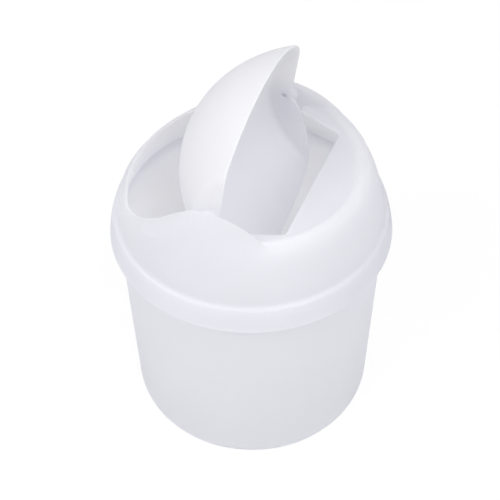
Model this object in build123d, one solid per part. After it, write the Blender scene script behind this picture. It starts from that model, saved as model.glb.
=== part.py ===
from build123d import *
from math import asin, degrees, hypot, radians, sqrt, tan
import os

# Countertop waste bin: a tapered bucket, a domed lift-off lid and a flap that swings in it.
# Millimetres, +Z up, origin on the ground at the middle of the base.
# The flap turns on an axis along Y. The ledge that it comes down on when it shuts is on +X.
# The flap is drawn shut, then turned to where it rests: tipped open, one wing up, one in the bin.

# ---------------------------------------------------------------- driving dimensions

# bucket
mouth_radius = 80.2         # outer wall at the top edge
bucket_height = 152.0
bucket_draft = 6.0          # on the radius, from the ground to the top edge
bucket_wall = 1.6
base_round = 13.0           # outside rounding between wall and base
floor_thickness = 2.0
foot_height = 1.8           # the foot ring stands this far below the floor's underside
foot_ring_width = 5.0

# lid: dome and skirt, standing on the bucket's top edge
lid_wall = 1.5
seat_gap = 0.1              # over the bucket's top edge
rim_gap = 0.2               # around it, under the lid's shoulder
plug_depth = 3.0            # ring that reaches down inside the bucket's mouth
plug_gap = 0.7
step_width = 2.7            # shoulder to the dome's widest radius
step_rise = 0.3             # the step's top climbs this much towards the dome
dome_drop = 4.7             # the dome's widest level, below the top edge
dome_rise = 87.0            # outer, from that level to where the full dome would close
shoulder_rise = 2.0         # top of the skirt, above the top edge
shoulder_round = 1.4
skirt_drop = 13.0           # lower edge of the skirt, below the top edge
skirt_flare = 3.1           # lower edge to shoulder, on the radius
skirt_bulge = 0.45          # how far the flared skirt swells past a straight cone
neck_fillet = 2.2           # hollow rounding between the skirt's step and the dome

# lid: the channel across the dome that the flap fills
cheek_inset = 19.8          # the dome's widest radius to the cheek walls' inner faces
cheek_depth = 4.0           # cheek walls end this far below the open rim
crest_rise = 39.8           # rim under the raised wing (+X), above the bucket's top edge
crest_depth = 2.8           # the dome's wall turns over into that rim from this far below
crest_lean = 0.6            # and leans in by this much more than the dome's wall
crest_land = 3.8            # width of the rim, before it is rounded
crest_slope = 3.0           # width of the border that falls from the rim to the floor
crest_round = 3.1
ledge_drop = 3.4            # flat floor inside the rim, below its top
ledge_wall = 1.6
ledge_width = 28.3          # from the rim's outer side to the ledge's straight inner edge
ledge_side = 15.2           # from the cheek walls to the ends of that edge
ledge_splay = 19.7          # degrees: from there the edge runs back to the cheek walls
ledge_corner = 4.0          # rounding of these two corners

# lid: the mouth on the other side (-X), where a flatter cone cuts into the dome
scoop_shift = 11.1          # the cone's axis, towards the ledge
scoop_drop = 11.8           # level, below the rim's top, at which its radius is given
scoop_inset = 0.2           # the dome's widest radius less the cone's there
scoop_slope = 0.659         # radius lost per unit of height
open_rim_drop = 19.5        # the mouth's edge, below the rim's top
open_rim_corner = 21.0

# pivots
pivot_x = -0.6
pivot_rise = 4.55           # above the rim's top
pin_diameter = 6.4
pin_clearance = 0.1         # on the radius, pin in hole
pin_core = 4.2              # hole that makes the pin hollow, open to the flap's inside
pin_tip = 1.2               # closed end of the pin
pin_lead = 0.6              # chamfer that lets the pin spring into its hole
pin_overrun = 0.5           # pin past the cheek wall
boss_diameter = 15.2
boss_length = 3.2           # inwards from the cheek wall
end_gap = 0.5               # flap's end walls to the bosses

# flap
flap_wall = 1.5
tuck_gap = 0.7              # hanging wing to the inside of the mouth's rim, when shut
rest_gap = 0.5              # raised wing to the lid's rim, when shut
tuck_depth = 1.0            # how far the hanging wing reaches below the open rim, when shut
end_round = 7.2             # outside rounding between the flap's shell and its end walls
open_angle = 82.0
stop_gap = 0.3              # end wall to the ledge's end, when tipped right open

# lower edge of the flap's end walls, shut, from the pivot: the step beside the pin, and the
# long curve out to the hanging wing
step_right = (1.0, -4.55)
step_left = (-2.2, -8.0)
curve_start = (-7.6, -11.9)
curve_middle = (-30.0, -20.2)
curve_end_x = -60.0

# ---------------------------------------------------------------- derived sizes

quarter_turn = 90
shoulder_radius = mouth_radius + rim_gap + lid_wall
skirt_radius = shoulder_radius + skirt_flare
dome_radius = shoulder_radius - step_width
base_radius = mouth_radius - bucket_draft
bucket_taper = bucket_draft / bucket_height
seat_height = bucket_height + seat_gap
skirt_height = bucket_height - skirt_drop
shoulder_height = bucket_height + shoulder_rise
dome_level = bucket_height - dome_drop
big = 2 * (dome_level + dome_rise)
crest_height = bucket_height + crest_rise
ledge_height = crest_height - ledge_drop
open_rim_height = crest_height - open_rim_drop
scoop_level = crest_height - scoop_drop
pivot_height = crest_height + pivot_rise
channel_half_width = dome_radius - cheek_inset
cheek_outside = channel_half_width + lid_wall
boss_face = channel_half_width - boss_length
flap_half_length = boss_face - end_gap
flap_rim_height = crest_height + rest_gap
flap_tuck_height = open_rim_height - tuck_depth
scoop_wall = lid_wall * hypot(1, scoop_slope)
pivot_axis = Axis((pivot_x, 0, pivot_height), (0, 1, 0))


# ---------------------------------------------------------------- shared forms

def dome(radius, rise, centre_x=0.0):
    """Solid ellipsoid of revolution around the middle of the dome's widest level."""
    half = Ellipse(radius, rise) & Pos(big / 2, 0) * Rectangle(big, big)
    return Pos(centre_x, 0, dome_level) * revolve(Plane.XZ * half, Axis.Z)


def turned(*points):
    """Ring or disc turned about Z from straight-sided points (radius, height)."""
    return revolve(Plane.XZ * make_face(Polyline(*points, close=True)), Axis.Z)


def block(low, high):
    """Box between two opposite corners."""
    size = [b - a for a, b in zip(low, high)]
    middle = [(a + b) / 2 for a, b in zip(low, high)]
    return Pos(*middle) * Box(*size)


def on_pivot(diameter, start, end, side):
    """Round bar on the pivot axis between two distances from the middle, on one side of it."""
    bar = Cylinder(diameter / 2, end - start, rotation=(90, 0, 0))
    return Pos(pivot_x, side * (start + end) / 2, pivot_height) * bar


def dome_radius_at(height, inset=0.0):
    """Radius of the dome, or of a face inset from it, at a given height."""
    rise = dome_rise - inset
    return (dome_radius - inset) * sqrt(1 - ((height - dome_level) / rise) ** 2)


def scoop_radius_at(height):
    """Radius of the cone around the mouth, at a given height."""
    return dome_radius - scoop_inset - scoop_slope * (height - scoop_level)


def scoop(inset):
    """Solid cone around the mouth, inset on its radius. It passes outside the dome on the ledge's
    side and low down, and cuts into it only around the mouth."""
    low_radius = scoop_radius_at(skirt_height) - inset
    tip_height = skirt_height + low_radius / scoop_slope
    cone = turned((0, skirt_height), (low_radius, skirt_height), (0, tip_height))
    return Pos(scoop_shift, 0, 0) * cone


# The flap's dome is smaller and shifted: flush with the lid on the ledge's side, and far enough
# inside the mouth's rim on the other.
lip_inset = dome_radius_at(open_rim_height) + scoop_shift - scoop_radius_at(open_rim_height)
flap_shift = (lip_inset + scoop_wall + tuck_gap) / 2
flap_radius = dome_radius - flap_shift


# ---------------------------------------------------------------- bucket

def bucket_form(inset, low, corner):
    """Solid of revolution inside the bucket's outer wall, with a rounded lower corner."""
    low_radius = base_radius + bucket_taper * low - inset
    outline = make_face(
        Polyline(
            (0, low), (low_radius, low), (mouth_radius - inset, bucket_height), (0, bucket_height),
            close=True,
        )
    )
    lower_corner = outline.vertices().filter_by(lambda v: v.Y < low + 1 and v.X > 1)
    return revolve(Plane.XZ * fillet(lower_corner, corner), Axis.Z)


def make_bucket():
    body = bucket_form(0, 0, base_round)
    body -= bucket_form(bucket_wall, foot_height + floor_thickness, base_round - bucket_wall)
    foot_inside = base_radius - base_round - foot_ring_width
    body -= turned(
        (0, 0), (foot_inside, 0), (foot_inside - foot_height / 2, foot_height), (0, foot_height)
    )
    lip = body.edges().filter_by(GeomType.CIRCLE).group_by(Axis.Z)[-1]
    return fillet(lip, bucket_wall * 0.35)


# ---------------------------------------------------------------- lid

def dome_arc(inset, low):
    """Section of the dome, inset from its outer face, from the height low up to the axis."""
    rise = dome_rise - inset
    start = degrees(asin((low - dome_level) / rise))
    return EllipticalCenterArc(
        (0, dome_level), dome_radius - inset, rise, start, arc_size=quarter_turn - start
    )


def ring_edge(body, radius, height):
    """The one circular edge of a turned body at this radius and height."""
    return body.edges().filter_by(
        lambda e: e.geom_type == GeomType.CIRCLE
        and abs(e.radius - radius) < 0.01
        and abs(e.center().Z - height) < 0.01
    )


def lid_round():
    """The lid before its channel is cut: skirt, seat, plug ring and dome, turned in one piece."""
    step_height = shoulder_height + step_rise
    neck = (dome_radius_at(step_height), step_height)
    jog_height = step_height + lid_wall
    jog = (dome_radius_at(jog_height, lid_wall), jog_height)
    plug_outer = mouth_radius - bucket_wall - plug_gap
    plug_inner = plug_outer - lid_wall
    plug_bottom = seat_height - plug_depth
    swell = (
        (skirt_radius + shoulder_radius) / 2 + skirt_bulge, (skirt_height + shoulder_height) / 2
    )
    inner_swell = (swell[0] - lid_wall, swell[1])
    inner_foot = (skirt_radius - lid_wall, skirt_height)
    seat_outer = (shoulder_radius - lid_wall, seat_height)
    outline = [
        ThreePointArc((skirt_radius, skirt_height), swell, (shoulder_radius, shoulder_height)),
        Line((shoulder_radius, shoulder_height), neck),
        dome_arc(0, step_height),
        Line((0, dome_level + dome_rise), (0, dome_level + dome_rise - lid_wall)),
        dome_arc(lid_wall, jog_height),
        Polyline(
            jog, (plug_inner, seat_height), (plug_inner, plug_bottom), (plug_outer, plug_bottom),
            (plug_outer, seat_height), seat_outer,
        ),
        ThreePointArc(seat_outer, inner_swell, inner_foot),
        Line(inner_foot, (skirt_radius, skirt_height)),
    ]
    body = revolve(Plane.XZ * make_face(Curve() + outline), Axis.Z)
    body = fillet(ring_edge(body, *neck), neck_fillet)
    return fillet(ring_edge(body, shoulder_radius, shoulder_height), shoulder_round)


def channel_void():
    """What the flap's channel takes out of the dome: level on the ledge's side, and a mouth with
    rounded corners that goes lower on the other side."""
    ledge_side = block(
        (0, -channel_half_width, crest_height - crest_depth), (big, channel_half_width, big)
    )
    mouth = Pos(0, (open_rim_height + big) / 2) * Rectangle(
        2 * channel_half_width, big - open_rim_height
    )
    mouth = fillet(mouth.vertices().group_by(Axis.Y)[0], open_rim_corner)
    return ledge_side + extrude(Plane.YZ * mouth, -big)


def make_cheeks(ledge_end):
    """Upright walls on both sides of the channel, ending below at the ledge and the open rim."""
    under = ledge_height - ledge_wall
    low = open_rim_height - cheek_depth
    side = Polyline(
        (-big, low), (ledge_end - (under - low), low), (ledge_end, under), (big, under),
        (big, big), (-big, big), close=True,
    )
    wall = Pos(0, channel_half_width, 0) * extrude(Plane.XZ * make_face(side), -lid_wall)
    wall &= dome(dome_radius, dome_rise) & scoop(0)
    return wall + mirror(wall, Plane.XZ)


def make_ledge(ledge_end):
    """Floor and rounded rim under the raised wing, cut back to its inner edges."""
    turn_height = crest_height - crest_depth
    turn_radius = dome_radius_at(turn_height)
    rim_outer = dome_radius_at(crest_height) - crest_lean
    rim_inner = rim_outer - crest_land
    floor_radius = rim_inner - crest_slope
    under = ledge_height - ledge_wall
    top = [(turn_radius, turn_height), (rim_outer, crest_height), (rim_inner, crest_height),
           (floor_radius, ledge_height), (0, ledge_height)]
    bottom = [(0, under), (floor_radius, under), (turn_radius, turn_height - ledge_wall)]
    section = make_face(Polyline(*top, *bottom, close=True))
    bends = section.vertices().filter_by(
        lambda v: floor_radius - 1 < v.X < turn_radius - 0.1 and v.Y > ledge_height - 0.1
    )
    skin = revolve(Plane.XZ * fillet(bends, crest_round), Axis.Z)
    ledge_reach = rim_outer - ledge_width
    ledge_straight = channel_half_width - ledge_side
    end_y = ledge_straight + (ledge_reach - ledge_end) * tan(radians(ledge_splay))
    corners = [(ledge_end, cheek_outside), (ledge_end, end_y), (ledge_reach, ledge_straight)]
    mirrored = [(x, -y) for x, y in reversed(corners)]
    plan = make_face(
        Polyline(*corners, *mirrored, (big, -cheek_outside), (big, cheek_outside), close=True)
    )
    inner_corners = plan.vertices().filter_by(lambda v: abs(v.X - ledge_reach) < 0.01)
    return skin & extrude(fillet(inner_corners, ledge_corner), big)


def make_lid(ledge_end):
    body = lid_round() & scoop(0)
    body += (dome(dome_radius, dome_rise) & scoop(0)) - scoop(scoop_wall)
    body -= channel_void()
    body += make_cheeks(ledge_end)
    body += make_ledge(ledge_end)
    hole_end = cheek_outside + pin_overrun / 2
    for side in (1, -1):
        boss = on_pivot(boss_diameter, boss_face, channel_half_width + lid_wall / 4, side)
        hole = on_pivot(pin_diameter + 2 * pin_clearance, boss_face - 1, hole_end, side)
        body = body + boss - hole
    return body


# ---------------------------------------------------------------- flap

def flap_form(inset):
    """Piece of the dome between the flap's end walls, with rounded shoulders, inset from its face."""
    half_length = flap_half_length - inset
    body = dome(flap_radius - inset, dome_rise - inset, flap_shift)
    body &= block((-big, -half_length, -big), (big, half_length, big))
    ends = body.edges().filter_by(lambda e: abs(abs(e.center().Y) - half_length) < 0.01)
    return fillet(ends, end_round - inset)


def flap_outline():
    """Side view of what is kept of the flap: everything above its lower edge."""
    def placed(point):
        return (pivot_x + point[0], pivot_height + point[1])

    tuck = (pivot_x + curve_end_x, flap_tuck_height)
    lower = [
        Polyline((big, flap_rim_height), (placed(step_right)[0], flap_rim_height), placed(step_left),
                 placed(curve_start)),
        ThreePointArc(placed(curve_start), placed(curve_middle), tuck),
        Polyline(tuck, (-big, flap_tuck_height), (-big, big), (big, big), (big, flap_rim_height)),
    ]
    return make_face(Curve() + lower)


def make_flap():
    body = flap_form(0) - flap_form(flap_wall)
    body &= extrude(Plane.XZ * flap_outline(), big, both=True)
    tip = cheek_outside + pin_overrun
    for side in (1, -1):
        pin = on_pivot(pin_diameter, flap_half_length - flap_wall / 2, tip, side)
        pin = chamfer(pin.edges().sort_by(lambda e: -side * e.center().Y)[0], pin_lead)
        core = on_pivot(pin_core, flap_half_length - flap_wall - 1, tip - pin_tip, side)
        body = body + pin - core
    return body.rotate(pivot_axis, -open_angle)


# ---------------------------------------------------------------- the object

flap = make_flap()
at_ledge = flap & block((-big, -big, ledge_height - ledge_wall), (big, big, ledge_height))
lid = make_lid(ledge_end=at_ledge.bounding_box().max.X + stop_gap)

os.makedirs("parts", exist_ok=True)
for name, piece in {"bucket": make_bucket(), "lid": lid, "flap": flap}.items():
    export_step(piece, f"parts/{name}.step")
    box = piece.bounding_box()
    print(name, "solids", len(piece.solids()), "volume", round(piece.volume), "valid", piece.is_valid)
    print("   x", round(box.min.X, 2), round(box.max.X, 2), " y", round(box.min.Y, 2),
          round(box.max.Y, 2), " z", round(box.min.Z, 2), round(box.max.Z, 2))
    print("   middle of mass", [round(v, 2) for v in piece.center()])
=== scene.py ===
# %% [markdown]
# # A countertop waste bin with a swing lid
#
# This lesson dresses a finished mechanical model of a small white waste bin: a tapered bucket, a
# domed lid with a channel across it, and a flap that swings in the channel. All three are
# injection mouldings, so the shapes are already right when the model is loaded. What is left for
# Blender is what the eye reads as plastic: how much light goes through the walls, how sharp the
# highlights are, and the faint unevenness that moulding leaves. Then come the light, the
# backdrop and the camera.

from math import atan, cos, pi, radians, sin

import bpy
import numpy as np
from mathutils import Matrix, Vector

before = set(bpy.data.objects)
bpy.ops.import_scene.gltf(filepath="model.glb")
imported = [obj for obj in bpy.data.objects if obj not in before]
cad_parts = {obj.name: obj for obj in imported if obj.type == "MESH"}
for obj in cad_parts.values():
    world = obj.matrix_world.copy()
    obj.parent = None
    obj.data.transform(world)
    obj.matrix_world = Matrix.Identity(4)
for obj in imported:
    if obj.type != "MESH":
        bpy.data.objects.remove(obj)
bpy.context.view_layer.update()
print("pieces:", ", ".join(sorted(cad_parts)))


# %% [markdown]
# ## Colours and nodes
#
# Colours are written as the hex values that a paint program shows. A renderer adds light, and
# needs them in linear form, so one function converts them. A second small function adds a node,
# sets its values and links it, which keeps each material down to a few readable lines.

# %% Helpers for colours and materials
MM = 0.001


def linear(hex_colour):
    """Linear RGBA of an sRGB hex colour: each channel c becomes ((c + 0.055) / 1.055) ** 2.4."""
    channels = [int(hex_colour[i : i + 2], 16) / 255 for i in (1, 3, 5)]
    return [c / 12.92 if c <= 0.04045 else ((c + 0.055) / 1.055) ** 2.4 for c in channels] + [1.0]


def new_material(name):
    """A material with an empty node tree."""
    material = bpy.data.materials.new(name)
    material.use_nodes = True
    material.node_tree.nodes.clear()
    return material


def add(material, kind, links=None, operation=None, **values):
    """Adds a node of this kind to a material or a world, sets its inputs by name (with _ for a
    space), and links other nodes' outputs to them."""
    node = material.node_tree.nodes.new(kind)
    if operation:
        node.operation = operation
    for name, value in values.items():
        node.inputs[name.replace("_", " ")].default_value = value
    for name, source in (links or {}).items():
        material.node_tree.links.new(source, node.inputs[name])
    return node


print("white as written and as light:", "#F6F6F8", [round(c, 3) for c in linear("#F6F6F8")])


# %% [markdown]
# ## Polypropylene
#
# Bins like this are injection moulded in white polypropylene. Its crystals scatter light so well
# that a wall 1.5 mm thick glows with whatever falls on its other side: shadows stay pale, and the
# inside of the bin is nearly as bright as the outside. Subsurface scattering is the usual way to
# make that, but it makes the flap's hollow side much too dark. So a Translucent shader carries
# the light from behind, mixed with a Principled shader for the light in front and the sheen.
#
# The mould was polished but not mirror-like, which gives a soft sheen: a roughness near 0.4. The
# plastic shrinks a little as it cools, so large walls swim very slightly in the reflection. One
# broad, shallow noise in the bump gives that, and a fine one gives the satin grain left by the
# mould's surface.

# %% Material for the mouldings
FLOW_SPACING = 45.5 * MM  # how far apart the mould's slow swells lie
SATIN_SPACING = 0.714 * MM  # the polished mould's grain, drawn as coarse as it needs to show
POLISH_SPREAD = 0.03  # how far the roughness wanders on either side
POLYPROPYLENE_IOR = 1.49


def polypropylene(name, colour, tint, roughness, glow, swim, grain):
    """White moulded plastic. Two noises on Object coordinates: flow (broad) and satin (fine).
    flow mixes colour with tint, moves the roughness and swells the surface by swim; satin
    roughens it by grain. glow is the share of light that comes through each face of the wall."""
    material = new_material(name)
    place = add(material, "ShaderNodeTexCoord").outputs["Object"]
    flow, satin = (
        add(material, "ShaderNodeTexNoise", {"Vector": place}, Scale=1 / spacing, Detail=2.0)
        for spacing in (FLOW_SPACING, SATIN_SPACING)
    )
    shade = add(material, "ShaderNodeMix", {"Factor": flow.outputs["Fac"]})
    shade.data_type = "RGBA"
    shade.inputs["A"].default_value = linear(colour)
    shade.inputs["B"].default_value = linear(tint)
    polish = add(
        material,
        "ShaderNodeMapRange",
        {"Value": flow.outputs["Fac"]},
        From_Min=0.3,
        From_Max=0.7,
        To_Min=roughness - POLISH_SPREAD,
        To_Max=roughness + POLISH_SPREAD,
    )
    broad = add(
        material, "ShaderNodeBump", {"Height": flow.outputs["Fac"]}, Strength=1.0, Distance=swim
    )
    fine = add(
        material,
        "ShaderNodeBump",
        {"Height": satin.outputs["Fac"], "Normal": broad.outputs["Normal"]},
        Strength=1.0,
        Distance=grain,
    )
    links = {
        "Base Color": shade.outputs["Result"],
        "Roughness": polish.outputs["Result"],
        "Normal": fine.outputs["Normal"],
    }
    plastic = add(material, "ShaderNodeBsdfPrincipled", links)
    plastic.inputs["IOR"].default_value = POLYPROPYLENE_IOR
    through = add(material, "ShaderNodeBsdfTranslucent", {"Color": shade.outputs["Result"]})
    wall = add(
        material, "ShaderNodeMixShader", {1: plastic.outputs["BSDF"], 2: through.outputs["BSDF"]}
    )
    wall.inputs[0].default_value = glow
    add(material, "ShaderNodeOutputMaterial", {"Surface": wall.outputs["Shader"]})
    return material


SATIN_DEPTH = 0.004 * MM
bucket_plastic = polypropylene(
    "polypropylene_bucket",
    "#F6F6F8",
    "#F8F8FA",
    roughness=0.42,
    glow=0.8,
    swim=0.25 * MM,
    grain=SATIN_DEPTH,
)
lid_plastic = polypropylene(
    "polypropylene_lid",
    "#F6F6F8",
    "#F8F8FA",
    roughness=0.40,
    glow=0.8,
    swim=0.2 * MM,
    grain=SATIN_DEPTH,
)
flap_plastic = polypropylene(
    "polypropylene_flap",
    "#F4F4F6",
    "#F6F6F8",
    roughness=0.40,
    glow=0.68,
    swim=0.2 * MM,
    grain=SATIN_DEPTH,
)

# %% Give each moulding its plastic
for name, material in {"bucket": bucket_plastic, "lid": lid_plastic, "flap": flap_plastic}.items():
    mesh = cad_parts[name].data
    mesh.materials.clear()
    mesh.materials.append(material)
    print(name, "has", len(mesh.polygons), "triangles and", material.name)


# %% [markdown]
# ## Floor and backdrop
#
# The floor is one sheet that runs level under the bin and then sweeps up behind it in a wide
# curve, so no horizon shows behind it. Its colour is a plain near-white. Through the Light Path
# node the camera sees it as pure white where no shadow falls. A fifth of what it sees is the lit
# paper, and that carries the object's own shadow, very faintly.

# %% Build the sweep
FLOOR_HALF = 6.0  # metres from the bin to each edge of the sheet
SWEEP_RADIUS = 1.0
SWEEP_ABOVE = 2.0  # upright part above the curve


def sweep_sheet(rows, columns):
    """Sheet z = f(y): level, then a quarter circle of SWEEP_RADIUS, then upright. x runs straight
    across, and the grid of rows and columns is split into four-sided faces."""
    level = np.linspace(-FLOOR_HALF, FLOOR_HALF - SWEEP_RADIUS, rows)
    turn = np.linspace(0, pi / 2, rows)[1:]
    y = np.concatenate([level, FLOOR_HALF - SWEEP_RADIUS + SWEEP_RADIUS * np.sin(turn)])
    z = np.concatenate([0 * level, SWEEP_RADIUS * (1 - np.cos(turn))])
    y = np.append(y, FLOOR_HALF)
    z = np.append(z, SWEEP_RADIUS + SWEEP_ABOVE)
    x = np.linspace(-FLOOR_HALF, FLOOR_HALF, columns)
    points = np.stack(np.broadcast_arrays(x[None, :], y[:, None], z[:, None]), -1).reshape(-1, 3)
    i, j = np.meshgrid(np.arange(len(y) - 1), np.arange(columns - 1), indexing="ij")
    corner = (i * columns + j).ravel()
    faces = np.stack([corner, corner + 1, corner + columns + 1, corner + columns], 1)
    return points, faces


points, faces = sweep_sheet(24, 9)
sheet = bpy.data.meshes.new("backdrop")
sheet.from_pydata(points.tolist(), [], faces.tolist())
sheet.shade_smooth()
backdrop = bpy.data.objects.new("backdrop", sheet)
bpy.context.scene.collection.objects.link(backdrop)
print("backdrop:", len(faces), "faces")


# %% What the camera sees as plain white
def seen_share(material, most):
    """A value that is `most` on camera and glossy rays, and 0 on all others. Transmission rays are
    left out: in this plastic they carry the glow, so they would put more light on the object."""
    rays = add(material, "ShaderNodeLightPath").outputs
    seen = add(
        material,
        "ShaderNodeMath",
        {0: rays["Is Camera Ray"], 1: rays["Is Glossy Ray"]},
        operation="MAXIMUM",
    )
    share = add(material, "ShaderNodeMath", {0: seen.outputs["Value"]}, operation="MULTIPLY")
    share.inputs[1].default_value = most
    return share.outputs["Value"]


# %% Paper for the sweep
PLAIN_SHARE = 0.8  # of what the camera sees; the rest is lit paper
PLAIN_STRENGTH = 1.03  # a little over 1, because the lit paper in the mix is a little under it

paper = new_material("matt_paper")
matt = add(paper, "ShaderNodeBsdfDiffuse", Color=linear("#F2F2F2"))
white = add(paper, "ShaderNodeEmission", Strength=PLAIN_STRENGTH, Color=(1, 1, 1, 1))
mix = add(
    paper,
    "ShaderNodeMixShader",
    {0: seen_share(paper, PLAIN_SHARE), 1: matt.outputs["BSDF"], 2: white.outputs["Emission"]},
)
add(paper, "ShaderNodeOutputMaterial", {"Surface": mix.outputs["Shader"]})
sheet.materials.append(paper)
print("paper:", len(paper.node_tree.nodes), "nodes")


# %% [markdown]
# ## Light
#
# The photograph was taken in very even light: a bright tent all round, and two soft boxes. One
# stands in front and to the left. The other hangs higher and to the right, and reaches into the
# raised wing. The world is the tent, and two area lamps are the soft boxes. Together they stay
# below the level at which white plastic clips. From a low angle the camera sees past the sweep, so
# the world shows it the same plain white as the sweep does.

# %% World and lamps
TENT_STRENGTH = 0.66
LAMP_AIM = Vector((0, 0, 0.12))
LAMP_DISTANCE = 1.4

world = bpy.data.worlds.new("tent")
world.use_nodes = True
world.node_tree.nodes.clear()
tent = add(world, "ShaderNodeBackground", Strength=TENT_STRENGTH, Color=(1, 1, 1, 1))
plain = add(world, "ShaderNodeBackground", Strength=1.0, Color=(1, 1, 1, 1))
sky = add(
    world,
    "ShaderNodeMixShader",
    {0: seen_share(world, 1.0), 1: tent.outputs["Background"], 2: plain.outputs["Background"]},
)
add(world, "ShaderNodeOutputWorld", {"Surface": sky.outputs["Shader"]})
bpy.context.scene.world = world


def soft_lamp(name, azimuth, elevation, size, watts):
    """Square area lamp aimed at the bin. Azimuth 0 is in front (-Y), positive towards +X."""
    data = bpy.data.lights.new(name, "AREA")
    data.size = size
    data.energy = watts
    lamp = bpy.data.objects.new(name, data)
    bpy.context.scene.collection.objects.link(lamp)
    a, e = radians(azimuth), radians(elevation)
    outward = Vector((sin(a) * cos(e), -cos(a) * cos(e), sin(e)))
    lamp.matrix_world = (
        Matrix.Translation(LAMP_AIM + LAMP_DISTANCE * outward)
        @ outward.to_track_quat("Z", "Y").to_matrix().to_4x4()
    )
    print(name, "lamp:", watts, "W at", [round(v, 2) for v in lamp.matrix_world.translation])


soft_lamp("key", azimuth=-28, elevation=45, size=0.6, watts=9.0)
soft_lamp("fill", azimuth=60, elevation=55, size=0.8, watts=8.5)


# %% [markdown]
# ## Camera
#
# The lens is long and looks down at the bin at about 49 degrees. It was set by fitting the
# ellipses of the skirt and the bucket, which give the camera's height and distance. Angles and the
# focal length follow from the fit, and the aim is the pixel on which a point inside the bin falls.

# %% Place the camera
AZIMUTH = radians(22.7)
ELEVATION = radians(48.91)
DISTANCE = 0.935
AIM_HEIGHT = 0.085
ROLL = radians(-0.62)
FOCAL_PIXELS = 1482.2
FRAME_PIXELS = 500
AIM_PIXEL = (251.8, 282.27)


def fitted_camera():
    """Looks at the aim point, then rolls and turns so that the point falls on its own pixel."""
    back = Vector(
        (sin(AZIMUTH) * cos(ELEVATION), -cos(AZIMUTH) * cos(ELEVATION), sin(ELEVATION))
    )
    place = Vector((0, 0, AIM_HEIGHT)) + DISTANCE * back
    looking = back.to_track_quat("Z", "Y").to_matrix()
    across = atan((AIM_PIXEL[0] - FRAME_PIXELS / 2) / FOCAL_PIXELS)
    down = atan((AIM_PIXEL[1] - FRAME_PIXELS / 2) / FOCAL_PIXELS)
    turn = (
        Matrix.Rotation(ROLL, 3, "Z")
        @ Matrix.Rotation(across, 3, "Y")
        @ Matrix.Rotation(down, 3, "X")
    )
    matrix = (looking @ turn).to_4x4()
    matrix.translation = place
    return matrix


lens = bpy.data.cameras.new("camera")
lens.sensor_width = 36
lens.lens = FOCAL_PIXELS / FRAME_PIXELS * lens.sensor_width
camera = bpy.data.objects.new("camera", lens)
camera.matrix_world = fitted_camera()
bpy.context.scene.collection.objects.link(camera)
bpy.context.scene.camera = camera
place = [round(v, 3) for v in camera.matrix_world.translation]
print("camera at", place, "with a lens of", round(lens.lens, 1), "mm")

# %% [markdown]
# ## Colours as written, and many bounces
#
# The Standard view transform shows a colour as it was written, which is how the whites were set.
# Light inside a white bin is reflected many times before it dies out. With the usual four diffuse
# bounces the inside comes out a few levels darker, so the path may go on for longer.

# %% Colour management and bounces
bpy.context.scene.view_settings.view_transform = "Standard"
bpy.context.scene.cycles.max_bounces = 16
bpy.context.scene.cycles.diffuse_bounces = 12
